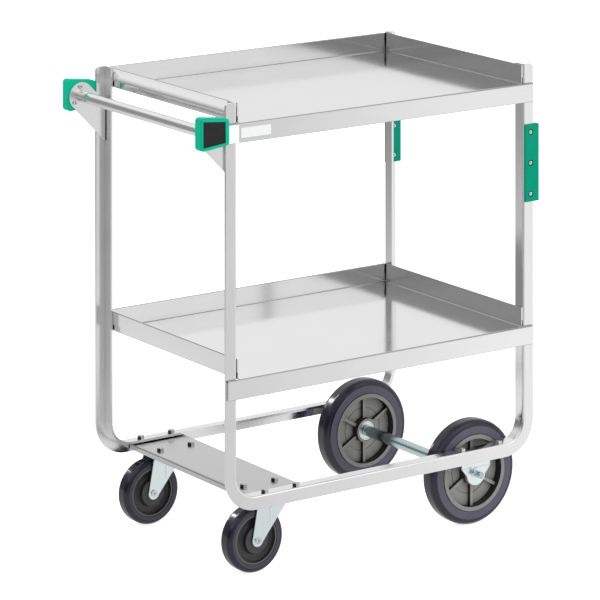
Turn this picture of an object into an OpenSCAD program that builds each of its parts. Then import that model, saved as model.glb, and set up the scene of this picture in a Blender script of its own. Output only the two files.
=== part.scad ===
// Two-shelf stainless steel utility cart with U-shaped angle side frames,
// a tubular push handle, two swivel casters at the handle end and two
// large wheels on a fixed axle at the other end.
// Units are millimetres. X runs from the handle end to the large-wheel end,
// +Y is the left side of the cart, Z is up and the floor is at Z = 0.

/* [Overall] */
// Length over the outer edges of the legs
frame_length = 726; // [640:1:860]
// Width over the outer faces of the side frames
frame_width = 458; // [430:1:560]
// Height of the top deck above the floor
top_deck_height = 855; // [830:1:900]
// Height of the lower deck above the floor
lower_deck_height = 380; // [350:1:440]
// Height of the underside of the side frames above the floor
run_height = 131; // [130:1:140]

/* [Side frames] */
// Leg width of the bent angle
angle_width = 25; // [24:0.5:28]
// Wall thickness of the bent angle
angle_wall = 4.8; // [3:0.1:5]
// Radius on the outer corner of the angle
angle_corner = 4; // [3:0.5:4.5]
// Outer radius of the two large bends of each side frame
frame_bend = 68; // [60:1:90]
// Radius on the free corner at each leg top
leg_top_radius = 8; // [4:1:12]

/* [Shelves] */
// Sheet thickness of the shelves
sheet = 1.5; // [1.2:0.1:2]
// Outer radius of the sheet bends
sheet_bend = 3; // [2.5:0.5:4]
// Height of the raised edges above the deck
wall_rise = 37; // [30:1:45]
// Height of the hem folded over each raised edge
hem_height = 25; // [15:1:26]
// Height of the turned-down apron on the open side
apron_height = 37; // [30:1:45]
// Distance of the apron face outside the legs
apron_stand = 5; // [4:0.5:7]
// Top opening of the corner seams
seam_width = 7; // [4:0.5:9]

/* [Handle] */
// Outer diameter of the handle tube
handle_d = 22.2; // [19:0.1:25.4]
// Distance of the handle axis behind the legs
handle_reach = 36; // [34:1:38]
// Drop of the handle axis below the top deck
handle_drop = 14; // [10:1:20]
// Radius of the round end of the handle brackets
bracket_radius = 27; // [26:0.5:28]
// Plate thickness of the handle brackets
bracket_wall = 3; // [2:0.5:4]
// Thickness of the handle bumpers
bumper_depth = 20.6; // [16:0.2:24]

/* [Corner bumpers] */
// Length of each corner bumper
strip_length = 151; // [120:1:180]
// Distance from the top deck down to the corner bumpers
strip_drop = 81; // [70:1:120]
// Bumper nose in front of the leg
strip_nose = 12; // [8:1:16]

/* [Casters] */
// Diameter of the caster wheels
caster_d = 125; // [120:1:127]
// Distance of the swivel axis from the leg edge
caster_inset = 132.5; // [125:0.5:145]
// Trail of the caster axle behind the swivel axis
caster_trail = 41; // [36:1:44]

/* [Large wheels] */
// Diameter of the large wheels
wheel_d = 203.2; // [196:0.1:204]
// Distance of the axle from the front leg edge
axle_inset = 121; // [115:1:140]
// Distance of every wheel centre from the cart centre plane
wheel_track = 178; // [176:1:179]

/* [Hidden] */
$fn = 96;
eps = 0.01;
half_width = frame_width / 2;
track_y = half_width - 229 + wheel_track;
bumper_length = 63.5;
rear_reach = bumper_length + 1.5;
overall_length = rear_reach + frame_length + strip_nose;
leg_rear = rear_reach - overall_length / 2;
leg_front = leg_rear + frame_length;
frame_mid = (leg_rear + leg_front) / 2;
leg_top = top_deck_height + wall_rise + 1;
flange_top = run_height + angle_width;
flange_under = flange_top - angle_wall;

shelf_gap = 0.5;
shelf_rear = leg_rear + angle_width + shelf_gap + sheet;
shelf_front = leg_front - angle_width - shelf_gap - sheet;
shelf_far = half_width - 6.5;
shelf_near = -half_width - apron_stand;
apron_inset = 2.8;
wall_top = sheet + wall_rise;

handle_x = leg_rear - handle_reach;
handle_z = top_deck_height - handle_drop;
bracket_y = half_width - angle_wall;
bracket_in = bracket_y - bracket_wall;
screw_circle = 19;
screw_angles = [97, 217, 337];

strip_top = top_deck_height - strip_drop;
strip_mid = strip_top - strip_length / 2;
strip_wall = 4;
strip_inner_wall = 3;
strip_screw_pitch = strip_length * 0.4;
strip_screw_x = leg_front - 8.7;

cross_wall = 3;
cross_length = 121;
cross_shift = 4;
cross_drop = 2.3;
cross_top = flange_under - cross_drop;
cross_lip = 12;
cross_y = half_width - angle_wall - 2.2;
bolt_d = 8;
bolt_hole = 8.2;
nut_flats = 13;
nut_height = 5.2;
bolt_tip = nut_height + 0.4;
bolt_y = half_width - 14;

caster_x = leg_rear + caster_inset;
caster_y = track_y + 1.5;
caster_bolt = bolt_y - caster_y;
plate_size = 86;
plate_wall = 4;
plate_top = cross_top - cross_wall;
plate_under = plate_top - plate_wall;
race_radius = 24;
ball_r = 3;
ball_z = plate_under - 5;
crown_top = plate_under - 6;
crown_wall = 4;
crown_radius = 38;
kingpin_d = 12;
clearance = 0.05;
fork_half = 21;
fork_wall = 3;
fork_gap = fork_half - fork_wall;
caster_axle_x = caster_x - caster_trail;
caster_axle_z = caster_d / 2;
caster_bolt_d = 8;
sleeve_d = 12;
caster_bore = 18;

axle_x = leg_front - axle_inset;
axle_z = wheel_d / 2;
axle_d = 12.7;
axle_half = track_y + 42;
hanger_y = track_y + 22.2;
hanger_wall = 3;
pin_y = hanger_y + hanger_wall + 6.2;
pin_d = 3;
hanger_half = 34.5;
hanger_bolt = 45;
hanger_round = 22.5;
hanger_step = 1;
hanger_fold = axle_z + 12;
hub_half = 20;
bearing_half = hub_half - 1;
bearing_d = 38;
bearing_wide = 12;

// ---- helpers -------------------------------------------------------------

// Copies its children from the right side to the left side of the cart.
module left_side() {
    mirror([0, 1, 0]) children();
}

// Mirrors its children about the middle of the side frame.
module other_leg() {
    translate([2 * frame_mid, 0, 0]) mirror([1, 0, 0]) children();
}

// Extrudes a (Y, Z) section along X.
module along_x(from, to) {
    translate([from, 0, 0]) rotate([90, 0, 90]) linear_extrude(to - from) children();
}

// Extrudes an (X, Z) section along Y.
module along_y(from, to) {
    translate([0, to, 0]) rotate([90, 0, 0]) linear_extrude(to - from) children();
}

// Round bar along Y.
module bar_y(d, from, to) {
    translate([0, to, 0]) rotate([90, 0, 0]) cylinder(d = d, h = to - from);
}

// Hexagonal bar along Y measured across its flats.
module hex_y(flats, from, to) {
    translate([0, to, 0]) rotate([90, 0, 0]) hex_z(flats, to - from);
}

// Hexagonal bar along Z measured across its flats.
module hex_z(flats, height) {
    cylinder(d = flats / cos(30), h = height, $fn = 6);
}

// ---- side frames ---------------------------------------------------------

// Section of the angle: X from the outer edge of the U, Y from the side face.
module angle_section() {
    difference() {
        union() {
            square([angle_width, angle_wall]);
            translate([angle_width - angle_wall, 0]) square([angle_wall, angle_width]);
        }
        difference() {
            translate([angle_width - angle_corner, -1]) square(angle_corner + 1);
            translate([angle_width - angle_corner, angle_corner]) circle(angle_corner);
        }
    }
}

module frame_leg() {
    difference() {
        translate([leg_rear, -half_width, run_height + frame_bend])
            linear_extrude(leg_top - run_height - frame_bend) angle_section();
        // rounded free corner at the top
        translate([leg_rear, -half_width - 1, leg_top - leg_top_radius]) difference() {
            translate([-1, 0, 0]) cube([leg_top_radius + 1, angle_width + 2, leg_top_radius + 1]);
            translate([leg_top_radius, -1, 0]) bar_y(2 * leg_top_radius, 0, angle_width + 4);
        }
    }
}

module frame_corner() {
    translate([leg_rear + frame_bend, 0, run_height + frame_bend]) rotate([90, 0, 0])
        rotate([0, 0, 180]) rotate_extrude(angle = 90)
            translate([frame_bend, half_width]) rotate(180) angle_section();
}

module frame_run() {
    along_x(leg_rear + frame_bend, leg_front - frame_bend)
        translate([-half_width, run_height]) mirror([1, -1]) angle_section();
}

module side_frame() {
    color("silver") difference() {
        union() {
            frame_leg();
            frame_corner();
            other_leg() frame_leg();
            other_leg() frame_corner();
            frame_run();
        }
        // bolt holes for the casters and for the axle hanger
        for (x = [caster_x - caster_bolt, caster_x + caster_bolt, axle_x - hanger_bolt, axle_x + hanger_bolt])
            translate([x, -bolt_y, flange_under - 5]) cylinder(d = bolt_hole, h = angle_wall + 10);
        // screw holes for the corner bumper
        for (i = [-1, 0, 1])
            translate([strip_screw_x, 0, strip_mid + i * strip_screw_pitch])
                bar_y(4.4, -half_width - 2, -half_width + angle_wall + 2);
    }
}

module side_frame_right() {
    side_frame();
}

module side_frame_left() {
    left_side() side_frame();
}

// ---- shelves -------------------------------------------------------------

// Quarter ring joining two sheets, centre at the origin, filling -X and -Y.
module sheet_corner() {
    intersection() {
        translate([-sheet_bend, -sheet_bend]) square(sheet_bend);
        difference() {
            circle(sheet_bend);
            circle(sheet_bend - sheet);
        }
    }
}

// Raised edge: X from the outer face inwards, Y from the underside up.
module raised_edge_section() {
    translate([sheet_bend, sheet_bend]) sheet_corner();
    translate([0, sheet_bend]) square([sheet, wall_top - sheet - sheet_bend]);
    translate([-sheet, wall_top - hem_height]) square([sheet, hem_height - sheet]);
    translate([0, wall_top - sheet]) circle(sheet);
}

// Turned-down apron: X from the outer face inwards, Y from the deck underside.
module apron_section() {
    translate([sheet_bend, sheet - sheet_bend]) mirror([0, 1]) sheet_corner();
    translate([0, 2 * sheet - apron_height]) square([sheet, apron_height - sheet - sheet_bend]);
    translate([sheet, 2 * sheet - apron_height]) square([sheet, 8]);
    translate([sheet, 2 * sheet - apron_height]) circle(sheet);
}

module end_wall() {
    along_y(-half_width + 1, shelf_far) translate([shelf_rear, 0]) raised_edge_section();
}

// Opening of a far corner, wider towards the top.
module corner_seam() {
    translate([shelf_rear + 2, shelf_far - 2, 0]) rotate([0, 0, 135]) along_x(-1, 12)
        polygon([[-0.5, -1], [0.5, -1], [0.5, sheet_bend], [seam_width / 2, wall_top + 1],
            [-seam_width / 2, wall_top + 1], [-0.5, sheet_bend]]);
}

module shelf_blank() {
    // deck
    translate([shelf_rear + sheet_bend, shelf_near + sheet_bend, 0])
        cube([shelf_front - shelf_rear - 2 * sheet_bend, shelf_far - shelf_near - 2 * sheet_bend, sheet]);
    // far raised edge and both raised ends
    along_x(shelf_rear, shelf_front)
        translate([shelf_far, 0]) mirror([1, 0]) raised_edge_section();
    end_wall();
    other_leg() end_wall();
    // apron with short returns against the legs
    along_x(leg_rear + apron_inset, leg_front - apron_inset)
        translate([shelf_near, 0]) apron_section();
    for (x = [leg_rear + apron_inset, leg_front - apron_inset - sheet])
        translate([x, shelf_near + sheet, 2 * sheet - apron_height])
            cube([sheet, apron_stand - sheet - 0.3, apron_height - sheet - sheet_bend]);
}

module shelf(deck_height) {
    color("gainsboro") translate([0, 0, deck_height - sheet]) difference() {
        shelf_blank();
        corner_seam();
        other_leg() corner_seam();
    }
}

module top_shelf() {
    shelf(top_deck_height);
}

module lower_shelf() {
    shelf(lower_deck_height);
}

// Hat channel under a deck.
module stiffener(deck_height) {
    color("silver") translate([0, 0, deck_height - sheet]) along_x(leg_rear + 110, leg_front - 110) {
        for (s = [-1, 1]) {
            translate([s * 37.5 - 12.5, -sheet]) square([25, sheet]);
            translate([s * 25.75 - sheet / 2, -20]) square([sheet, 20]);
        }
        translate([-25 - sheet, -20]) square([50 + 2 * sheet, sheet]);
    }
}

module top_shelf_stiffener() {
    stiffener(top_deck_height);
}

module lower_shelf_stiffener() {
    stiffener(lower_deck_height);
}

// ---- handle --------------------------------------------------------------

module handle_tube() {
    color("lightgrey") translate([handle_x, 0, handle_z]) difference() {
        bar_y(handle_d, -bracket_in, bracket_in);
        bar_y(handle_d - 3.2, -bracket_in - 1, bracket_in + 1);
    }
}

// Places its children on each bracket screw axis of the right side.
module on_bracket_screws() {
    for (a = screw_angles)
        translate([handle_x + screw_circle * cos(a), 0, handle_z + screw_circle * sin(a)]) children();
}

module handle_bracket() {
    reach = handle_reach + angle_width - angle_wall - 1.6;
    side = (bracket_radius - 0.1) * cos(45);
    color("silver") difference() {
        translate([handle_x, 0, handle_z]) {
            bar_y(2 * bracket_radius, -bracket_y, -bracket_in);
            along_y(-bracket_y, -bracket_in) polygon([[side, side], [reach, 2 * side - reach],
                [reach, -2 * side - reach], [-side, -side]]);
        }
        on_bracket_screws() bar_y(4.3, -bracket_y - 1, -bracket_in + 1);
    }
}

module handle_bracket_right() {
    handle_bracket();
}

module handle_bracket_left() {
    left_side() handle_bracket();
}

// Tapered plate with round corners: X from the outer end, centred on Z.
module tapered_plate(from, to, length, start, end, radius) {
    tilt = atan((start - end) / 2 / length);
    near_z = start / 2 - radius * (1 / cos(tilt) + tan(tilt));
    far_z = end / 2 - radius * (1 / cos(tilt) - tan(tilt));
    // the straight edges stop just inside the corner rounds
    edge = radius - 0.03;
    side_x = edge * sin(tilt);
    side_z = edge * cos(tilt);
    along_y(from, to) polygon([[radius - edge, near_z], [radius + side_x, near_z + side_z],
        [length - radius + side_x, far_z + side_z], [length - radius + edge, far_z],
        [length - radius + edge, -far_z], [length - radius + side_x, -far_z - side_z],
        [radius + side_x, -near_z - side_z], [radius - edge, -near_z]]);
    for (s = [-1, 1]) {
        translate([radius, 0, s * near_z]) bar_y(2 * radius, from, to);
        translate([length - radius, 0, s * far_z]) bar_y(2 * radius, from, to);
    }
}

// Moves its children to the rear middle of the handle bumpers.
module at_bumper() {
    translate([leg_rear - rear_reach, 0, handle_z + 3]) children();
}

module pad_plate(from, to, extra) {
    at_bumper() translate([4.5 - extra, 0, 0])
        tapered_plate(from, to, 50 + 2 * extra, 49 + 2 * extra, 39 + 2 * extra, 1.5);
}

module handle_bumper() {
    face = bracket_y + bumper_depth;
    color("mediumseagreen") difference() {
        at_bumper() union() {
            tapered_plate(-face + 2, -bracket_y, bumper_length, 63, 48.5, 7);
            // stepped rounding of the outer edge
            translate([0.6, 0, 0])
                tapered_plate(-face + 0.6, -face + 3, bumper_length - 1.2, 61.8, 47.3, 6.4);
            translate([2, 0, 0])
                tapered_plate(-face, -face + 3, bumper_length - 4, 59, 44.5, 5);
        }
        pad_plate(-face - 1, -face + 2.5, 0);
        on_bracket_screws() bar_y(4.1, -bracket_y - 12.5, -bracket_y + 1);
    }
}

module handle_bumper_right() {
    handle_bumper();
}

module handle_bumper_left() {
    left_side() handle_bumper();
}

module bumper_pad() {
    face = bracket_y + bumper_depth;
    color("dimgray") pad_plate(-face + 0.4, -face + 2.5, -0.1);
}

module bumper_pad_right() {
    bumper_pad();
}

module bumper_pad_left() {
    left_side() bumper_pad();
}

module bracket_screw_set() {
    on_bracket_screws() {
        bar_y(4, -bracket_y - 12, -bracket_in);
        difference() {
            bar_y(8, -bracket_in, -bracket_in + 3);
            hex_y(2.5, -bracket_in + 1.4, -bracket_in + 4);
        }
    }
}

module handle_bracket_screws() {
    color("gray") {
        bracket_screw_set();
        left_side() bracket_screw_set();
    }
}

// ---- corner bumpers ------------------------------------------------------

module corner_bumper() {
    outer = half_width + strip_wall;
    inner = half_width - angle_wall - strip_inner_wall;
    color("mediumseagreen") difference() {
        translate([leg_front, 0, strip_top - strip_length]) linear_extrude(strip_length) difference() {
            union() {
                translate([-22.5, -outer + 1.5]) square([20.5 + strip_nose, outer - inner - 3]);
                translate([-21, -outer]) square([19.5 + strip_nose, outer - inner]);
                translate([-2 + strip_nose, -outer + 1.5]) square([2, outer - inner - 3]);
                for (x = [-21, strip_nose - 1.5])
                    for (y = [-outer + 1.5, -inner - 1.5])
                        translate([x, y]) circle(1.5);
            }
            translate([-30, -half_width]) square([30, angle_wall]);
            translate([-30, -half_width + 1]) square([14, 20]);
        }
        for (i = [-1, 0, 1])
            translate([strip_screw_x, 0, strip_mid + i * strip_screw_pitch]) {
                bar_y(12, -outer - 1, -outer + 2.6);
                bar_y(4.2, -outer - 1, -inner + 1);
            }
    }
}

module corner_bumper_right() {
    corner_bumper();
}

module corner_bumper_left() {
    left_side() corner_bumper();
}

// Places its children on each corner bumper screw axis of the right side.
module on_strip_screws() {
    for (i = [-1, 0, 1])
        translate([strip_screw_x, 0, strip_mid + i * strip_screw_pitch]) children();
}

module strip_screw_set() {
    seat = -half_width - strip_wall + 2.6;
    on_strip_screws() {
        bar_y(4, seat, seat + 16.4);
        difference() {
            bar_y(7.5, seat - 2.2, seat);
            hex_y(2.5, seat - 3, seat - 1);
        }
    }
}

module corner_bumper_screws() {
    color("lightgrey") {
        strip_screw_set();
        left_side() strip_screw_set();
    }
}

module strip_nut_set() {
    face = -half_width + angle_wall + strip_inner_wall;
    on_strip_screws() difference() {
        hex_y(7, face, face + 3.2);
        bar_y(4.1, face - 1, face + 4);
    }
}

module corner_bumper_nuts() {
    color("lightgrey") {
        strip_nut_set();
        left_side() strip_nut_set();
    }
}

module label_plate() {
    color("white") translate([leg_rear + 31, shelf_near - 0.4, top_deck_height - 28])
        cube([67, 0.4, 19]);
}

// ---- caster cross plate --------------------------------------------------

// Places its children on the four mounting bolts of the right caster.
module on_caster_bolts() {
    for (x = [-1, 1])
        for (y = [-1, 1])
            translate([caster_x + x * caster_bolt, -caster_y + y * caster_bolt, 0]) children();
}

// Half of the plate section: X from the edge inwards, Y up from the lip end.
module cross_lip_section() {
    radius = cross_wall + 1.5;
    square([cross_wall, cross_lip - radius]);
    translate([radius, cross_lip - radius]) difference() {
        intersection() {
            circle(radius);
            translate([-radius, 0]) square(radius);
        }
        circle(radius - cross_wall);
    }
    translate([radius, cross_lip - cross_wall]) square([cross_length / 2 - radius, cross_wall]);
}

module caster_cross_plate() {
    color("silver") difference() {
        along_y(-cross_y, cross_y) for (s = [0, 1])
            translate([caster_x + cross_shift, cross_top - cross_lip]) mirror([s, 0])
                translate([-cross_length / 2, 0]) cross_lip_section();
        for (s = [0, 1])
            mirror([0, s, 0]) on_caster_bolts()
                translate([0, 0, plate_top - 1]) cylinder(d = bolt_hole, h = cross_wall + 2);
    }
}

// Hexagon bolt with its head under z = 0 and its tip at the given height.
module mounting_bolt(tip) {
    translate([0, 0, -5.3]) hex_z(13, 5.3);
    cylinder(d = bolt_d, h = tip - 1);
    translate([0, 0, tip - 1]) cylinder(d1 = bolt_d, d2 = bolt_d - 2, h = 1);
}

// Hexagon nut standing on z = 0.
module mounting_nut() {
    difference() {
        intersection() {
            hex_z(nut_flats, nut_height);
            // chamfered corners
            translate([0, 0, -1]) cylinder(d1 = nut_flats + 8, d2 = nut_flats + 1, h = nut_height + 1);
        }
        translate([0, 0, -1]) cylinder(d = bolt_d + 0.1, h = nut_height + 2);
    }
}

module caster_bolt_set() {
    for (x = [-1, 1])
        translate([caster_x + x * caster_bolt, 0, plate_under]) {
            translate([0, -caster_y - caster_bolt, 0])
                mounting_bolt(flange_top - plate_under + bolt_tip);
            translate([0, -caster_y + caster_bolt, 0])
                mounting_bolt(cross_top - plate_under + bolt_tip);
        }
}

module caster_nut_set() {
    for (x = [-1, 1])
        translate([caster_x + x * caster_bolt, 0, 0]) {
            translate([0, -caster_y - caster_bolt, flange_top]) mounting_nut();
            translate([0, -caster_y + caster_bolt, cross_top]) mounting_nut();
        }
}

// Washer filling the slot between the cross plate and the side frame.
module plate_spacer_set() {
    for (x = [-1, 1])
        translate([caster_x + x * caster_bolt, -bolt_y, cross_top]) difference() {
            cylinder(d = 13, h = cross_drop);
            translate([0, 0, -1]) cylinder(d = bolt_hole, h = cross_drop + 2);
        }
}

module caster_plate_spacers() {
    color("silver") {
        plate_spacer_set();
        left_side() plate_spacer_set();
    }
}

module caster_mounting_bolts() {
    color("gray") {
        caster_bolt_set();
        left_side() caster_bolt_set();
    }
}

module caster_mounting_nuts() {
    color("gray") {
        caster_nut_set();
        left_side() caster_nut_set();
    }
}

// ---- casters -------------------------------------------------------------

// Moves its children to the swivel axis of the right or left caster.
module at_caster(side) {
    translate([caster_x, side * caster_y, 0]) children();
}

// Moves its children to the centre of the right or left caster wheel.
module at_caster_wheel(side) {
    translate([caster_axle_x, side * caster_y, caster_axle_z]) children();
}

module caster_plate(side) {
    color("lightsteelblue") at_caster(side) difference() {
        union() {
            translate([-plate_size / 2, -plate_size / 2, plate_under]) cube([plate_size, plate_size, plate_wall]);
            translate([0, 0, plate_under - 4]) cylinder(r = 30, h = 5);
        }
        translate([0, 0, plate_under - 5]) cylinder(r = 18, h = 5);
        translate([0, 0, plate_under - 6]) cylinder(d = kingpin_d + 0.1, h = plate_wall + 8);
        translate([0, 0, ball_z]) rotate_extrude() translate([race_radius, 0]) circle(ball_r + clearance);
        for (x = [-1, 1])
            for (y = [-1, 1])
                translate([x * caster_bolt, y * caster_bolt, plate_under - 1])
                    cylinder(d = bolt_hole, h = plate_wall + 2);
    }
}

module caster_plate_right() {
    caster_plate(-1);
}

module caster_plate_left() {
    caster_plate(1);
}

module caster_kingpin(side) {
    color("lightsteelblue") at_caster(side) {
        translate([0, 0, crown_top - crown_wall - 3.6]) cylinder(d = 22, h = 3.5);
        translate([0, 0, crown_top - crown_wall - 3]) cylinder(d = kingpin_d, h = plate_top - crown_top + crown_wall + 3);
    }
}

module caster_kingpin_right() {
    caster_kingpin(-1);
}

module caster_kingpin_left() {
    caster_kingpin(1);
}

module caster_balls(side) {
    color("silver") at_caster(side) for (i = [0 : 19])
        rotate([0, 0, i * 18]) translate([race_radius, 0, ball_z]) sphere(r = ball_r);
}

module caster_balls_right() {
    caster_balls(-1);
}

module caster_balls_left() {
    caster_balls(1);
}

// Side view of a fork leg, origin on the axle, X towards the swivel axis.
module fork_side() {
    rise = crown_top - caster_axle_z;
    circle(12);
    polygon([[-12, 0], [caster_trail - 42, rise - 15], [caster_trail - 36, rise],
        [caster_trail + 36, rise], [caster_trail + 20, rise - 18], [caster_trail - 1, 31],
        [11.3, -4], [0, -4]]);
}

// End view of the fork: both legs joined by the crown.
module fork_section() {
    rise = crown_top - caster_axle_z;
    difference() {
        union() {
            translate([-fork_half, -20]) square([2 * fork_half, rise + 15]);
            translate([-fork_half + 5, rise - 6]) square([2 * fork_half - 10, 6]);
            for (s = [-1, 1])
                translate([s * (fork_half - 5), rise - 5]) circle(5);
        }
        translate([-fork_gap, -30]) square([2 * fork_gap, rise - crown_wall + 30]);
    }
}

module caster_fork(side) {
    color("lightsteelblue") at_caster_wheel(side) difference() {
        union() {
            intersection() {
                along_x(-20, 90) fork_section();
                along_y(-30, 30) fork_side();
            }
            // round crown over the wheel
            translate([caster_trail, 0, crown_top - crown_wall - caster_axle_z])
                cylinder(r = crown_radius, h = crown_wall);
            // pressed rib on each leg
            for (s = [-1, 1])
                translate([28.6, s * (fork_half - 2.6), 25]) {
                    cylinder(r = 3.6, h = 31);
                    sphere(r = 3.6);
                    translate([0, 0, 31]) sphere(r = 3.6);
                }
        }
        translate([-40, -fork_gap, -20]) cube([120, 2 * fork_gap, crown_top - crown_wall - caster_axle_z + 20]);
        bar_y(caster_bolt_d + 0.2, -30, 30);
        translate([caster_trail, 0, 0]) cylinder(d = kingpin_d + 2 * clearance, h = 100);
        translate([caster_trail, 0, ball_z - caster_axle_z])
            rotate_extrude() translate([race_radius, 0]) circle(ball_r + clearance);
    }
}

module caster_fork_right() {
    caster_fork(-1);
}

module caster_fork_left() {
    caster_fork(1);
}

module caster_axle(side) {
    color("silver") at_caster_wheel(side) {
        difference() {
            bar_y(13, -fork_half - 2.4, -fork_half);
            hex_y(4, -fork_half - 3, -fork_half - 0.8);
        }
        bar_y(caster_bolt_d, -fork_half - 0.4, fork_half + 9);
    }
}

module caster_axle_right() {
    caster_axle(-1);
}

module caster_axle_left() {
    caster_axle(1);
}

module caster_axle_nut(side) {
    color("silver") at_caster_wheel(side) difference() {
        hex_y(13, fork_half, fork_half + 7);
        bar_y(caster_bolt_d + 0.1, fork_half - 1, fork_half + 8);
    }
}

module caster_axle_nut_right() {
    caster_axle_nut(-1);
}

module caster_axle_nut_left() {
    caster_axle_nut(1);
}

module caster_sleeve(side) {
    color("silver") at_caster_wheel(side) difference() {
        bar_y(sleeve_d, -fork_gap, fork_gap);
        bar_y(caster_bolt_d + 0.1, -fork_gap - 1, fork_gap + 1);
    }
}

module caster_sleeve_right() {
    caster_sleeve(-1);
}

module caster_sleeve_left() {
    caster_sleeve(1);
}

module caster_bushing(side) {
    color("white") at_caster_wheel(side) difference() {
        bar_y(caster_bore, -17, 17);
        bar_y(sleeve_d + 2 * clearance, -18, 18);
    }
}

module caster_bushing_right() {
    caster_bushing(-1);
}

module caster_bushing_left() {
    caster_bushing(1);
}

// Radial half section of the caster hub: X is the radius, Y the width.
module caster_hub_section() {
    rim = caster_d / 2 - 15.5;
    translate([caster_bore / 2, -17]) square([25 - caster_bore / 2, 34]);
    translate([24, -5]) square([rim - 27, 10]);
    difference() {
        translate([rim - 4, -15]) square([4, 30]);
        for (s = [-1, 1])
            translate([rim, s * 15]) rotate(45) square(1.2, center = true);
    }
    // rounded floor of the recess on both faces
    difference() {
        translate([24.5, -9]) square([rim - 28, 18]);
        for (s = [-1, 1])
            translate([(21 + rim) / 2, s * 13]) circle(9.6);
    }
}

module caster_hub(side) {
    color("dimgray") at_caster_wheel(side) rotate([90, 0, 0]) rotate_extrude() caster_hub_section();
}

module caster_hub_right() {
    caster_hub(-1);
}

module caster_hub_left() {
    caster_hub(1);
}

// Radial section of a tread with a flat crown and round shoulders.
module tread_section(inner, outer, half, shoulder) {
    difference() {
        union() {
            translate([inner, -half]) square([outer - shoulder - inner, 2 * half]);
            translate([inner, -half + shoulder]) square([outer - inner, 2 * (half - shoulder)]);
            for (s = [-1, 1])
                translate([outer - shoulder, s * (half - shoulder)]) circle(shoulder);
        }
        translate([inner - shoulder, -half - 1]) square([shoulder, 2 * half + 2]);
    }
}

module caster_tread(side) {
    color("slategray") at_caster_wheel(side) rotate([90, 0, 0]) rotate_extrude()
        tread_section(caster_d / 2 - 15.5, caster_d / 2, 16, 9);
}

module caster_tread_right() {
    caster_tread(-1);
}

module caster_tread_left() {
    caster_tread(1);
}

// ---- large wheels and axle -----------------------------------------------

// Moves its children to the centre of the right or left large wheel.
module at_front_wheel(side) {
    translate([axle_x, side * track_y, axle_z]) children();
}

module front_hub_section() {
    rim = axle_z - 26.6;
    difference() {
        translate([15, -hub_half]) square([9, 2 * hub_half]);
        for (s = [-1, 1])
            translate([0, s * (bearing_half - bearing_wide / 2) - bearing_wide / 2])
                square([bearing_d / 2, bearing_wide]);
        for (s = [-1, 1])
            translate([0, s * hub_half - 1]) square([20, 2]);
    }
    // web with a shallow ring groove on both faces
    difference() {
        translate([23, -2.5]) square([rim - 31, 5]);
        for (s = [-1, 1])
            translate([42, s * 2.5 - 1]) square([1.8, 2]);
    }
    translate([rim - 9, -17]) square([9, 34]);
    translate([rim - 9, -20]) square([8, 40]);
}

module front_hub(side) {
    color("darkgray") at_front_wheel(side) {
        rotate([90, 0, 0]) rotate_extrude() front_hub_section();
        for (i = [0 : 5])
            rotate([0, 30 + i * 60, 0]) translate([23, -10, -3]) cube([axle_z - 26.6 - 31, 20, 6]);
    }
}

module front_hub_right() {
    front_hub(-1);
}

module front_hub_left() {
    front_hub(1);
}

module front_bearings(side) {
    color("gainsboro") at_front_wheel(side) for (s = [-1, 1])
        translate([0, s * (bearing_half - bearing_wide / 2), 0]) difference() {
            bar_y(bearing_d, -bearing_wide / 2, bearing_wide / 2);
            bar_y(axle_d + 2 * clearance, -bearing_wide, bearing_wide);
            // recessed shield
            translate([0, s * bearing_wide / 2, 0]) difference() {
                bar_y(33, -0.8, 0.8);
                bar_y(20, -1, 1);
            }
        }
}

module front_bearings_right() {
    front_bearings(-1);
}

module front_bearings_left() {
    front_bearings(1);
}

module front_tread(side) {
    color("slategray") at_front_wheel(side) rotate([90, 0, 0]) rotate_extrude()
        tread_section(axle_z - 26.6, axle_z, 19, 11.6);
}

module front_tread_right() {
    front_tread(-1);
}

module front_tread_left() {
    front_tread(1);
}

module front_axle() {
    color("lightsteelblue") translate([axle_x, 0, axle_z]) difference() {
        union() {
            bar_y(axle_d, -axle_half + 1.5, axle_half - 1.5);
            for (s = [0, 1])
                mirror([0, s, 0]) translate([0, -axle_half, 0]) rotate([-90, 0, 0])
                    cylinder(d1 = axle_d - 3, d2 = axle_d, h = 1.5);
        }
        for (s = [-1, 1])
            translate([0, s * pin_y, 0]) rotate([0, 120, 0])
                translate([0, 0, -axle_d]) cylinder(d = pin_d + 0.2, h = 2 * axle_d);
    }
}

module axle_spacer_tube() {
    reach = track_y - bearing_half - 0.1;
    color("lightsteelblue") translate([axle_x, 0, axle_z]) difference() {
        bar_y(22, -reach, reach);
        bar_y(axle_d + 0.2, -reach - 1, reach + 1);
    }
}

// Washer on the axle between two distances from the cart centre plane.
module axle_washer(diameter, inner, outer) {
    translate([axle_x, 0, axle_z]) difference() {
        bar_y(diameter, -outer, -inner);
        bar_y(axle_d + 0.2, -outer - 1, -inner + 1);
    }
}

module axle_washer_set() {
    axle_washer(24, track_y + bearing_half + 0.1, hanger_y);
    axle_washer(22, hanger_y + hanger_wall, hanger_y + hanger_wall + 2);
}

module axle_washers() {
    color("silver") {
        axle_washer_set();
        left_side() axle_washer_set();
    }
}

// Split pin with a round eye on one side of the axle and two bent ends opposite.
module axle_cotter_pin() {
    translate([axle_x, -pin_y, axle_z]) rotate([0, 120, 0]) {
        translate([0, 0, -10]) cylinder(d = pin_d, h = 19);
        translate([0, 0, 11.6]) rotate([90, 0, 0]) rotate_extrude()
            translate([2.9, 0]) circle(1.3);
        for (s = [0, 1])
            mirror([s, 0, 0]) translate([0.4, 0, -9.6]) rotate([0, 130, 0]) cylinder(d = 2, h = 7);
    }
}

module axle_cotter_pins() {
    color("silver") {
        axle_cotter_pin();
        left_side() axle_cotter_pin();
    }
}

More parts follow.
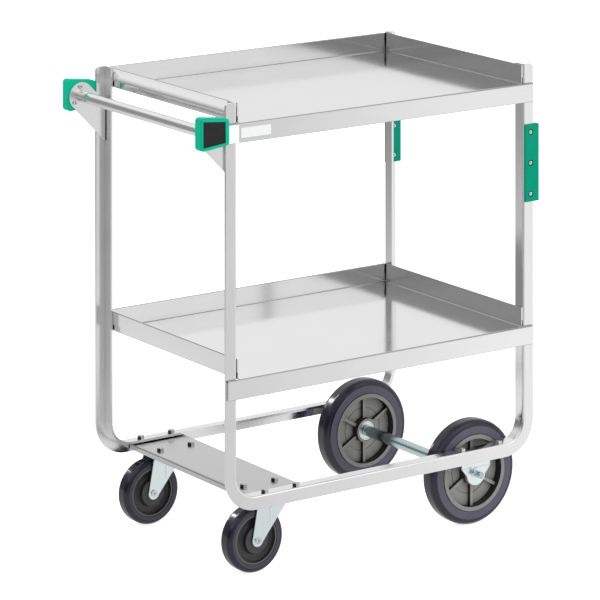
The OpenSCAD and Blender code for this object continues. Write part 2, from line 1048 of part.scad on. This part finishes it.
// Side view of the hanger plate below the fold, origin on the axle.
module hanger_side() {
    circle(hanger_round);
    polygon([[-hanger_half, 12], [hanger_half, 12], [hanger_round * cos(-8), hanger_round * sin(-8)],
        [-hanger_round * cos(-8), hanger_round * sin(-8)]]);
}

module axle_hanger() {
    color("lightsteelblue") difference() {
        translate([axle_x, 0, 0]) {
            // lower plate carrying the axle
            intersection() {
                translate([0, 0, axle_z]) along_y(-hanger_y - hanger_wall, -hanger_y) hanger_side();
                translate([-50, -half_width, 0]) cube([100, half_width, hanger_fold]);
            }
            // stepped band above the fold
            translate([-hanger_half, -hanger_y - hanger_wall + hanger_step, hanger_fold])
                cube([2 * hanger_half, hanger_wall, flange_under - hanger_fold]);
            // flange bolted under the side frame
            translate([-hanger_bolt - 10, -half_width + angle_wall + 1, flange_under - hanger_wall])
                cube([2 * hanger_bolt + 20, half_width - angle_wall - 1 - hanger_y + hanger_step, hanger_wall]);
        }
        translate([axle_x, 0, axle_z]) bar_y(axle_d + 0.2, -half_width, -hanger_y + 5);
        for (s = [-1, 1])
            translate([axle_x + s * hanger_bolt, -bolt_y, flange_under - 10]) cylinder(d = bolt_hole, h = 20);
    }
}

module axle_hanger_right() {
    axle_hanger();
}

module axle_hanger_left() {
    left_side() axle_hanger();
}

module hanger_bolt_set() {
    for (s = [-1, 1])
        translate([axle_x + s * hanger_bolt, -bolt_y, flange_under - hanger_wall])
            mounting_bolt(angle_wall + hanger_wall + bolt_tip);
}

module axle_hanger_bolts() {
    color("lightgrey") {
        hanger_bolt_set();
        left_side() hanger_bolt_set();
    }
}

module hanger_nut_set() {
    for (s = [-1, 1])
        translate([axle_x + s * hanger_bolt, -bolt_y, flange_top]) mounting_nut();
}

module axle_hanger_nuts() {
    color("lightgrey") {
        hanger_nut_set();
        left_side() hanger_nut_set();
    }
}

// ---- nodes ---------------------------------------------------------------

side_frame_left();
side_frame_right();
top_shelf();
lower_shelf();
top_shelf_stiffener();
lower_shelf_stiffener();
handle_tube();
handle_bracket_left();
handle_bracket_right();
handle_bumper_left();
handle_bumper_right();
bumper_pad_left();
bumper_pad_right();
handle_bracket_screws();
corner_bumper_left();
corner_bumper_right();
corner_bumper_screws();
corner_bumper_nuts();
label_plate();
caster_cross_plate();
caster_plate_spacers();
caster_mounting_bolts();
caster_mounting_nuts();
axle_hanger_left();
axle_hanger_right();
axle_hanger_bolts();
axle_hanger_nuts();
front_axle();
axle_spacer_tube();
axle_washers();
axle_cotter_pins();
caster_plate_left();
caster_plate_right();
caster_kingpin_left();
caster_kingpin_right();
caster_balls_left();
caster_balls_right();
caster_fork_left();
caster_fork_right();
caster_axle_left();
caster_axle_right();
caster_axle_nut_left();
caster_axle_nut_right();
caster_sleeve_left();
caster_sleeve_right();
caster_bushing_left();
caster_bushing_right();
caster_hub_left();
caster_hub_right();
caster_tread_left();
caster_tread_right();
front_hub_left();
front_hub_right();
front_bearings_left();
front_bearings_right();
front_tread_left();
front_tread_right();
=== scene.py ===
"""Looks of the two-shelf utility cart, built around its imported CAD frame."""

import math

import bmesh
import bpy
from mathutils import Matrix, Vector


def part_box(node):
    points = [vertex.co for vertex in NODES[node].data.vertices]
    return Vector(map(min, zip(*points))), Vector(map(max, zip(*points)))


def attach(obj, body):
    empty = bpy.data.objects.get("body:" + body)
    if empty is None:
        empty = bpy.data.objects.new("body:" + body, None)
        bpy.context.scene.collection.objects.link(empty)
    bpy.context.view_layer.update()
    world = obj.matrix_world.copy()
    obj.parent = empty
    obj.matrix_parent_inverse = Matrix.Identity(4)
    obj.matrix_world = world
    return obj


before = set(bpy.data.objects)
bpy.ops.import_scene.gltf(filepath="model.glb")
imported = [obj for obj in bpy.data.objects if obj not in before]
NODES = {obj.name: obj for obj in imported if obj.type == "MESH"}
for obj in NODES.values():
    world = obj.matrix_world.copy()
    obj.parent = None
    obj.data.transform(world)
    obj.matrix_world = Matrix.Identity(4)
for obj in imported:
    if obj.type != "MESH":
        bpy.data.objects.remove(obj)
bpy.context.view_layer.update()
SCENE = bpy.context.scene
SIDES = ("left", "right")

# sockets of a Mix node: its two inputs and its output, by data type
MIX_SOCKETS = {"FLOAT": (2, 3, 0), "RGBA": (6, 7, 2)}
WHITE = (1.0, 1.0, 1.0)


# ---- node material helpers ---------------------------------------------------

class Shader:
    """A small wrapper that makes node trees shorter to write."""

    def __init__(self, name):
        self.material = bpy.data.materials.new(name)
        self.material.use_nodes = True
        self.tree = self.material.node_tree
        self.bsdf = self.tree.nodes["Principled BSDF"]
        self.coords = self.node("ShaderNodeTexCoord").outputs["Object"]

    def node(self, kind, **inputs):
        made = self.tree.nodes.new(kind)
        for key, value in inputs.items():
            if hasattr(made, key):
                setattr(made, key, value)
            else:
                self.put(made.inputs[key.replace("_", " ")], value)
        return made

    def put(self, socket, value):
        if isinstance(value, bpy.types.NodeSocket):
            self.tree.links.new(value, socket)
        elif isinstance(value, (tuple, list)) and len(value) == 3 and socket.type == "RGBA":
            socket.default_value = (*value, 1.0)
        else:
            socket.default_value = value

    def set(self, **inputs):
        for key, value in inputs.items():
            self.put(self.bsdf.inputs[key.replace("_", " ")], value)

    def stretched(self, scale):
        """Object coordinates stretched by a scale on each axis."""
        mapping = self.node("ShaderNodeMapping")
        self.put(mapping.inputs["Vector"], self.coords)
        mapping.inputs["Scale"].default_value = scale
        return mapping.outputs["Vector"]

    def noise(self, scale, detail=4.0, rough=0.55, vector=None):
        made = self.node("ShaderNodeTexNoise", Scale=scale, Detail=detail, Roughness=rough)
        self.put(made.inputs["Vector"], vector or self.coords)
        return made.outputs["Fac"]

    def ramp(self, fac, low, high, start=0.0, end=1.0):
        """Colour or value between two ends as fac goes from start to end."""
        remap = self.node("ShaderNodeMapRange")
        self.put(remap.inputs["Value"], fac)
        remap.inputs["From Min"].default_value = start
        remap.inputs["From Max"].default_value = end
        kind = "RGBA" if isinstance(low, (tuple, list)) else "FLOAT"
        return self.mix(kind, remap.outputs["Result"], low, high)

    def mix(self, kind, factor, first, second, mode="MIX"):
        """First where the factor is zero, second where it is one."""
        made = self.node("ShaderNodeMix")
        made.data_type = kind
        made.blend_type = mode
        low, high, out = MIX_SOCKETS[kind]
        self.put(made.inputs["Factor"], factor)
        self.put(made.inputs[low], first)
        self.put(made.inputs[high], second)
        return made.outputs[out]

    def math(self, operation, first, second=0.0):
        made = self.node("ShaderNodeMath")
        made.operation = operation
        self.put(made.inputs[0], first)
        self.put(made.inputs[1], second)
        return made.outputs[0]

    def bump(self, height, strength, distance, normal):
        """Small relief on top of the given surface direction."""
        made = self.node("ShaderNodeBump")
        made.inputs["Strength"].default_value = strength
        made.inputs["Distance"].default_value = distance
        self.put(made.inputs["Height"], height)
        self.put(made.inputs["Normal"], normal)
        self.put(self.bsdf.inputs["Normal"], made.outputs["Normal"])

    def round_edges(self, radius):
        """Normals that turn softly over sharp edges."""
        made = self.node("ShaderNodeBevel")
        made.samples = 4
        self.put(made.inputs["Radius"], radius)
        return made.outputs["Normal"]

    def painted_crease_shade(self, colour, reach, dark, closed=0.12, open_=0.6):
        """Painted shade: colour made darker in creases and along tight gaps, where little light reaches."""
        made = self.node("ShaderNodeAmbientOcclusion")
        made.samples = 6
        self.put(made.inputs["Distance"], reach)
        return self.shaded(colour, self.ramp(made.outputs["AO"], 1.0, 0.0, closed, open_), dark)

    def shaded(self, colour, mask, dark):
        """Colour turned darker where the mask is one."""
        return self.mix("RGBA", mask, colour, (dark, dark, dark), "MULTIPLY")

    def normals(self):
        """Components of the surface direction in the node's own axes."""
        made = self.node("ShaderNodeSeparateXYZ")
        self.put(made.inputs[0], self.node("ShaderNodeTexCoord").outputs["Normal"])
        return made.outputs

    def bend_mask(self):
        """One on the curved strips between upright and level faces."""
        nx, ny, nz = self.normals()
        upright = self.math("MAXIMUM", self.math("ABSOLUTE", nx), self.math("ABSOLUTE", ny))
        both_ways = self.math("MULTIPLY", upright, self.math("ABSOLUTE", nz))
        return self.ramp(both_ways, 0.0, 1.0, 0.12, 0.4)

    def wall_mask(self):
        """One on walls that run along the axle, zero on the wheel's side faces."""
        return self.ramp(self.math("ABSOLUTE", self.normals()[1]), 1.0, 0.0, 0.2, 0.7)

    def radius(self, node):
        """Distance from the axle of this wheel part."""
        lo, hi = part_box(node)
        x, y, z = self.split()
        dx = self.math("SUBTRACT", x, (lo.x + hi.x) / 2)
        dz = self.math("SUBTRACT", z, (lo.z + hi.z) / 2)
        squares = self.math("MULTIPLY", dx, dx), self.math("MULTIPLY", dz, dz)
        return self.math("SQRT", self.math("ADD", *squares))

    def split(self):
        """Object coordinates, one output for each axis."""
        made = self.node("ShaderNodeSeparateXYZ")
        self.put(made.inputs[0], self.coords)
        return made.outputs


def steel(name, tone, grain, rough=(0.24, 0.34), tint=WHITE, cloudy=1.0, bend_shade=None,
          relief=0.05, left_shade=None):
    """Stainless steel with a fine directional grain and faint clouding. Painted shade, whatever the light:
    creases and tight gaps darker, and, where its optional arguments ask for it, curved strips and faces
    towards -X darker."""
    s = Shader(name)
    lines = s.noise(1.0, 3.0, 0.6, s.stretched(grain))
    cloud = s.noise(9.0, 3.0, 0.5)
    low = tuple(tone * (1.0 - 0.06 * cloudy) * t for t in tint)
    high = tuple(tone * (1.0 + 0.04 * cloudy) * t for t in tint)
    mixed = s.math("ADD", s.math("MULTIPLY", lines, 0.65), s.math("MULTIPLY", cloud, 0.35))
    # painted shade in creases and along tight gaps
    colour = s.painted_crease_shade(s.ramp(mixed, low, high, 0.35, 0.65), 0.025, 0.03, 0.12, 0.40)
    if bend_shade:
        colour = s.shaded(colour, s.bend_mask(), bend_shade)
    if left_shade:
        colour = s.shaded(colour, s.ramp(s.normals()[0], 1.0, 0.0, -0.8, -0.5), left_shade)
    s.set(Base_Color=colour, Metallic=1.0, Roughness=s.ramp(mixed, rough[0], rough[1], 0.35, 0.65))
    s.bump(lines, relief, 0.0003, s.round_edges(0.0005))
    return s


GRAIN_X = (14.0, 900.0, 900.0)
GRAIN_Y = (900.0, 14.0, 900.0)
GRAIN_Z = (900.0, 900.0, 14.0)
# the hem on the handle end: a surface nearer to the shelf's end than HEM_REACH is its outer face, and the
# turn of its normals starts and ends this far below the top
HEM_REACH = 0.0230
HEM_LOW = 0.024
HEM_HIGH = 0.006


def lean_hem(s, shelf):
    """Shading only, the hem itself stays upright: the normals at the handle end turn upwards, so it
    looks as bright as a hem that leans back."""
    lo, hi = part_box(shelf)
    x, y, z = s.split()
    outside = s.ramp(x, 1.0, 0.0, lo.x + HEM_REACH, lo.x + HEM_REACH + 0.0004)
    rise = s.ramp(z, 0.55, 1.3, hi.z - HEM_LOW, hi.z - HEM_HIGH)
    lean = s.node("ShaderNodeCombineXYZ")
    s.put(lean.inputs[2], s.math("MULTIPLY", outside, rise))
    joined = s.node("ShaderNodeVectorMath")
    joined.operation = "ADD"
    for link in list(s.bsdf.inputs["Normal"].links):
        s.put(joined.inputs[0], link.from_socket)
    s.put(joined.inputs[1], lean.outputs[0])
    unit = s.node("ShaderNodeVectorMath")
    unit.operation = "NORMALIZE"
    s.put(unit.inputs[0], joined.outputs[0])
    s.put(s.bsdf.inputs["Normal"], unit.outputs[0])


def plastic(name, low, high, rough, texture, depth, spec=0.5, crease=(0.012, 0.3)):
    """Moulded plastic or rubber with a fine surface texture."""
    s = Shader(name)
    cloud = s.noise(25.0, 4.0)
    fine = s.noise(texture, 2.0)
    # painted shade in creases and along tight gaps
    s.set(Base_Color=s.painted_crease_shade(s.ramp(cloud, low, high, 0.3, 0.7), *crease), Specular_IOR_Level=spec,
          Roughness=s.ramp(fine, rough[0], rough[1], 0.3, 0.7))
    s.bump(fine, 0.25, depth, s.round_edges(0.0008))
    return s


def paint(shader, *names):
    """Gives CAD nodes or built pieces this material on every slot."""
    for name in names:
        obj = NODES[name] if isinstance(name, str) else name
        obj.data.materials.clear()
        obj.data.materials.append(shader.material)


def both(stem):
    """Node names of the left and right piece."""
    return [f"{stem}_{side}" for side in SIDES]


# ---- materials on the CAD nodes ----------------------------------------------

FRAME_STEEL = steel("stainless_frame", 0.86, GRAIN_Z, (0.16, 0.24), relief=0.025)
# the shelf sheets get painted shade on their curved bends, whatever the light
TOP_SHEET = steel("stainless_sheet_top", 0.84, GRAIN_X, (0.09, 0.14), cloudy=0.5, bend_shade=0.42, relief=0.03)
LOW_SHEET = steel("stainless_sheet_low", 0.88, GRAIN_X, (0.09, 0.14), cloudy=0.5, bend_shade=0.42, relief=0.03)
TUBE_STEEL = steel("stainless_tube", 0.86, GRAIN_Y, (0.10, 0.16))
BRACKET_STEEL = steel("stainless_bracket", 0.94, GRAIN_Z, (0.20, 0.30), cloudy=0.5, relief=0.03)
PLATE_STEEL = steel("stainless_plate", 0.57, GRAIN_Y, (0.20, 0.26), cloudy=0.4)
SCREW_STEEL = steel("plated_screws", 0.72, GRAIN_Y, (0.16, 0.24))
# painted shade on the nuts' faces towards -X, whatever the light
NUT_STEEL = steel("plated_nuts", 0.62, GRAIN_Z, (0.16, 0.24), left_shade=0.12)
ZINC = steel("zinc_plating", 0.93, GRAIN_Z, (0.22, 0.32), (0.90, 0.985, 1.0), cloudy=0.5, relief=0.03)
AXLE_ZINC = steel("zinc_axle", 0.60, GRAIN_Y, (0.12, 0.20), (0.80, 0.97, 1.0))
TEAL = plastic("teal_bumper", (0.0, 0.66, 0.39), (0.0, 0.71, 0.42), (0.40, 0.5), 1400.0, 0.0001, 0.06)
TEAL_STRIP = plastic("teal_strip", (0.0, 0.39, 0.23), (0.0, 0.43, 0.255), (0.40, 0.5), 1400.0, 0.0001, 0.06)
PAD = plastic("charcoal_pad", (0.016, 0.015, 0.016), (0.028, 0.026, 0.028), (0.6, 0.8), 1100.0, 0.0006, 0.3)
LABEL = plastic("blank_label", (0.92, 0.94, 0.94), (0.95, 0.97, 0.97), (0.3, 0.36), 600.0, 0.0001)
# painted glow: a faint emission makes the label brighter than its lighting gives
LABEL.set(Emission_Color=WHITE, Emission_Strength=0.15)
BUSH = plastic("white_bushing", (0.72, 0.72, 0.70), (0.8, 0.8, 0.78), (0.4, 0.5), 900.0, 0.0001)


def hub_material(name, node, low, high, rim, rim_from, wall_shade, rough, spec):
    """Moulded hub with painted shade on the walls that run along the axle, so the side faces look lighter;
    rim of its own tone.
    """
    s = Shader(name)
    cloud = s.noise(25.0, 4.0)
    fine = s.noise(700.0, 2.0)
    faces = s.ramp(cloud, low, high, 0.3, 0.7)
    on_rim = s.ramp(s.radius(node), 0.0, 1.0, rim_from - 0.0004, rim_from + 0.0004)
    faces = s.mix("RGBA", on_rim, faces, rim)
    # painted shade: walls along the axle darkened, then creases and tight gaps
    colour = s.painted_crease_shade(s.shaded(faces, s.wall_mask(), wall_shade), 0.014, 0.12)
    s.set(Base_Color=colour, Roughness=s.ramp(fine, rough[0], rough[1], 0.3, 0.7), Specular_IOR_Level=spec)
    s.bump(fine, 0.2, 0.0002, s.round_edges(0.0006))
    return s


def tread_material(name, node, sides, shoulder, band):
    """Polyurethane tread: dark running surface and moulded sides of their own tone."""
    s = Shader(name)
    side = s.ramp(s.radius(node), 1.0, 0.0, shoulder, shoulder + band)
    cloud = s.noise(30.0, 4.0)
    dark = s.ramp(cloud, (0.013, 0.010, 0.027), (0.021, 0.016, 0.040), 0.3, 0.7)
    light = s.ramp(cloud, sides, tuple(1.15 * value for value in sides), 0.3, 0.7)
    fine = s.noise(1200.0, 2.0)
    # painted shade in creases and along tight gaps
    s.set(Base_Color=s.painted_crease_shade(s.mix("RGBA", side, dark, light), 0.01, 0.3),
          Roughness=s.ramp(side, 0.13, 0.38), Specular_IOR_Level=s.ramp(side, 0.5, 0.35))
    s.bump(fine, 0.1, 0.0001, s.round_edges(0.0008))
    return s


# each hub's walls along the axle get painted shade, much darker on the big hub
HUB_BIG = hub_material("front_hub_plastic", "front_hub_left", (0.40, 0.40, 0.375), (0.50, 0.50, 0.47),
                       (0.36, 0.36, 0.345), 0.0655, 0.07, (0.40, 0.5), 0.3)
HUB_SMALL = hub_material("caster_hub_plastic", "caster_hub_left", (0.055, 0.052, 0.055),
                         (0.072, 0.068, 0.072), (0.17, 0.165, 0.165), 0.0435, 0.55, (0.3, 0.42), 0.5)
BIG_TREAD = tread_material("front_tread_rubber", "front_tread_left", (0.128, 0.118, 0.168), 0.0895, 0.001)
SMALL_TREAD = tread_material("caster_tread_rubber", "caster_tread_left", (0.075, 0.068, 0.095), 0.0530, 0.001)
# dark steel of the seam tabs: painted shade, standing for the shadow inside the seams
SEAM_SHADE_STEEL = steel("shaded_seam_steel", 0.14, GRAIN_Z, cloudy=0.5)

paint(FRAME_STEEL, *both("side_frame"))
lean_hem(TOP_SHEET, "top_shelf")
paint(TOP_SHEET, "top_shelf", "top_shelf_stiffener")
paint(LOW_SHEET, "lower_shelf", "lower_shelf_stiffener")
paint(TUBE_STEEL, "handle_tube")
paint(BRACKET_STEEL, *both("handle_bracket"))
paint(PLATE_STEEL, "caster_cross_plate")
paint(SCREW_STEEL, "handle_bracket_screws", "corner_bumper_screws", "corner_bumper_nuts",
      "axle_hanger_bolts", "axle_hanger_nuts", "caster_plate_spacers",
      *both("caster_axle"), *both("caster_axle_nut"),
      *both("caster_sleeve"), *both("caster_balls"), *both("front_bearings"))
paint(ZINC, *both("axle_hanger"), *both("caster_fork"), *both("caster_plate"),
      *both("caster_kingpin"), "axle_washers", "axle_cotter_pins")
paint(AXLE_ZINC, "front_axle", "axle_spacer_tube")
paint(NUT_STEEL, "caster_mounting_bolts", "caster_mounting_nuts")
paint(TEAL, *both("handle_bumper"))
paint(TEAL_STRIP, *both("corner_bumper"))
paint(PAD, *both("bumper_pad"))
paint(LABEL, "label_plate")
paint(BUSH, *both("caster_bushing"))
paint(HUB_BIG, *both("front_hub"))
paint(HUB_SMALL, *both("caster_hub"))
paint(BIG_TREAD, *both("front_tread"))
paint(SMALL_TREAD, *both("caster_tread"))


# ---- lap tabs behind the far corner seams, dark with painted shade -------------

LEG_EDGE = 0.0224      # from the shelf's end to the edge of the leg in front of the tab
TAB_WIDTH = 0.011
TAB_DEPTH = 0.037      # lower edge below the top of the shelf wall
TAB_DROP = 0.0015      # upper edge below it
TAB_CORNER = 0.0025    # cut corners
TAB_GAP = 0.00005      # clear of the shelf wall
TAB_SHEET = 0.0006


def seam_tab(shelf, end, near_x, far_x):
    """Thin tab of the shelf sheet behind one open corner seam; its dark steel is painted shade, so the seam
    looks shadowed.
    """
    lo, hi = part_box(shelf)
    low, high, cut = hi.z - TAB_DEPTH, hi.z - TAB_DROP, TAB_CORNER
    reach = cut if far_x > near_x else -cut
    outline = ((near_x, low), (far_x - reach, low), (far_x, low + cut),
               (far_x, high - cut), (far_x - reach, high), (near_x, high))
    bm = bmesh.new()
    face = bm.faces.new([bm.verts.new((x, hi.y + TAB_GAP, z)) for x, z in outline])
    grown = bmesh.ops.extrude_face_region(bm, geom=[face])
    moved = [item for item in grown["geom"] if isinstance(item, bmesh.types.BMVert)]
    bmesh.ops.translate(bm, verts=moved, vec=(0.0, TAB_SHEET, 0.0))
    bmesh.ops.recalc_face_normals(bm, faces=bm.faces)
    mesh = bpy.data.meshes.new(f"{shelf}_seam_tab_{end}")
    bm.to_mesh(mesh)
    bm.free()
    tab = bpy.data.objects.new(mesh.name, mesh)
    SCENE.collection.objects.link(tab)
    tab.data.materials.append(SEAM_SHADE_STEEL.material)
    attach(tab, "cart_frame")


for shelf in ("top_shelf", "lower_shelf"):
    rear_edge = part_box(shelf)[0].x + LEG_EDGE
    front_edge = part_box(shelf)[1].x - LEG_EDGE
    seam_tab(shelf, "rear", rear_edge, rear_edge + TAB_WIDTH)
    seam_tab(shelf, "front", front_edge, front_edge - TAB_WIDTH)


# ---- stage, light and camera -------------------------------------------------

FLOOR_HALF = 60.0
FLOOR_DROP = 0.0005
# level direction across the picture, as shares of +X and +Y; away from the viewer is at right angles to it
ACROSS_X = 0.82
ACROSS_Y = 0.57


def stage_floor():
    """Pale floor. Reflections see a painted tone instead of it, darker towards the far left."""
    mesh = bpy.data.meshes.new("studio_floor")
    bm = bmesh.new()
    bmesh.ops.create_grid(bm, x_segments=1, y_segments=1, size=FLOOR_HALF)
    bm.to_mesh(mesh)
    bm.free()
    floor = bpy.data.objects.new("studio_floor", mesh)
    floor.location.z = -FLOOR_DROP
    SCENE.collection.objects.link(floor)
    s = Shader("studio_floor")
    s.set(Base_Color=(0.92, 0.92, 0.92), Roughness=0.9, Specular_IOR_Level=0.0)
    path = s.node("ShaderNodeLightPath")
    geometry = s.node("ShaderNodeNewGeometry")
    axes = s.node("ShaderNodeSeparateXYZ")
    s.put(axes.inputs[0], geometry.outputs["Position"])
    # the mirror image of the floor darkens to the far left and to the left side
    away = s.math("SUBTRACT", s.math("MULTIPLY", axes.outputs["Y"], ACROSS_X),
                  s.math("MULTIPLY", axes.outputs["X"], ACROSS_Y))
    across = s.math("ADD", s.math("MULTIPLY", axes.outputs["X"], ACROSS_X),
                    s.math("MULTIPLY", axes.outputs["Y"], ACROSS_Y))
    side = s.math("ADD", s.ramp(across, 0.46, 0.72, -1.7, -0.42),
                  s.ramp(across, 0.0, 0.24, -0.42, 0.2))
    behind = s.math("MULTIPLY", s.ramp(across, 0.0, 0.45, -0.1, 0.45),
                    s.ramp(away, 0.0, 1.0, 0.5, 1.6))
    far = s.math("MULTIPLY", s.ramp(away, 1.0, 0.46, 1.6, 3.4), s.math("SUBTRACT", 1.0, behind))
    tone = s.math("MULTIPLY", side, far)
    glow = s.node("ShaderNodeEmission")
    s.put(glow.inputs["Strength"], tone)
    mix = s.node("ShaderNodeMixShader")
    s.put(mix.inputs[0], path.outputs["Is Glossy Ray"])
    # the camera sees the floor nearly white, with a faint contact shadow
    s.put(s.bsdf.inputs["Emission Color"], WHITE)
    s.put(s.bsdf.inputs["Emission Strength"], s.math("MULTIPLY", path.outputs["Is Camera Ray"], 0.8))
    s.put(mix.inputs[1], s.bsdf.outputs[0])
    s.put(mix.inputs[2], glow.outputs[0])
    s.put(s.tree.nodes["Material Output"].inputs["Surface"], mix.outputs[0])
    floor.data.materials.append(s.material)


def studio_world():
    """White surround, dark low down on the left side of the studio."""
    world = bpy.data.worlds.new("studio_world")
    world.use_nodes = True
    SCENE.world = world
    tree = world.node_tree
    background = tree.nodes["Background"]
    coords = tree.nodes.new("ShaderNodeTexCoord")
    axes = tree.nodes.new("ShaderNodeSeparateXYZ")
    tree.links.new(coords.outputs["Generated"], axes.inputs[0])

    def remap(value, start, end, low, high):
        made = tree.nodes.new("ShaderNodeMapRange")
        made.inputs["From Min"].default_value = start
        made.inputs["From Max"].default_value = end
        made.inputs["To Min"].default_value = low
        made.inputs["To Max"].default_value = high
        tree.links.new(value, made.inputs["Value"])
        return made.outputs["Result"]

    def combine(operation, first, second):
        made = tree.nodes.new("ShaderNodeMath")
        made.operation = operation
        tree.links.new(first, made.inputs[0])
        tree.links.new(second, made.inputs[1])
        return made.outputs[0]

    low = combine("ADD", remap(axes.outputs["X"], -1.0, -0.5, 0.08, 0.32),
                  remap(axes.outputs["X"], -0.5, 0.4, 0.0, 0.56))
    high = remap(axes.outputs["Z"], 0.31, 0.52, 0.0, 0.95)
    tree.links.new(combine("MAXIMUM", low, high), background.inputs["Strength"])
    background.inputs["Color"].default_value = (*WHITE, 1.0)


def soft_light(name, place, target, size, power):
    """Rectangular area light aimed at a target."""
    data = bpy.data.lights.new(name, "AREA")
    data.shape = "RECTANGLE"
    data.size, data.size_y = size
    data.energy = power
    light = bpy.data.objects.new(name, data)
    light.location = place
    aim = Vector(target) - Vector(place)
    light.rotation_euler = aim.to_track_quat("-Z", "Y").to_euler()
    SCENE.collection.objects.link(light)
    return light


# product camera: where it stands, which way it looks, its lens and lens shift
EYE = (-4.0902, -5.8248, 2.1931)
HEADING = 35.02
SENSOR = 36.0
LENS = 218.7
LENS_SHIFT = -1.499166667


def rising_front(camera, amount):
    """Lens shift of the level product view."""
    camera.rotation_mode = "XYZ"
    curve = camera.data.driver_add("shift_y")
    curve.driver.type = "SUM"
    source = curve.driver.variables.new()
    source.type = "SINGLE_PROP"
    source.targets[0].id = camera
    source.targets[0].data_path = "rotation_mode"
    slope = curve.modifiers[0] if curve.modifiers else curve.modifiers.new("GENERATOR")
    slope.coefficients = (0.0, amount)


def studio_camera():
    """Level view camera with a rising-front shift, as product pictures use."""
    heading = math.radians(HEADING)
    forward = Vector((math.sin(heading), math.cos(heading), 0.0))
    data = bpy.data.cameras.new("product_camera")
    data.sensor_width = SENSOR
    data.lens = LENS
    data.clip_end = 200.0
    camera = bpy.data.objects.new("product_camera", data)
    camera.location = EYE
    camera.rotation_euler = forward.to_track_quat("-Z", "Y").to_euler()
    SCENE.collection.objects.link(camera)
    SCENE.camera = camera
    rising_front(camera, LENS_SHIFT)


stage_floor()
studio_world()
soft_light("key_light", (1.6, -3.2, 3.0), (0.0, 0.0, 0.4), (2.4, 2.4), 9.0)
rim_light = soft_light("rim_light", (-1.1, 3.4, 2.5), (0.0, 0.0, 0.3), (0.35, 2.2), 45.0)
# the narrow light only draws the highlights on the treads
treads = bpy.data.collections.new("tread_highlights")
for name in both("front_tread") + both("caster_tread"):
    treads.objects.link(NODES[name])
rim_light.light_linking.receiver_collection = treads
studio_camera()
SCENE.view_settings.view_transform = "Standard"
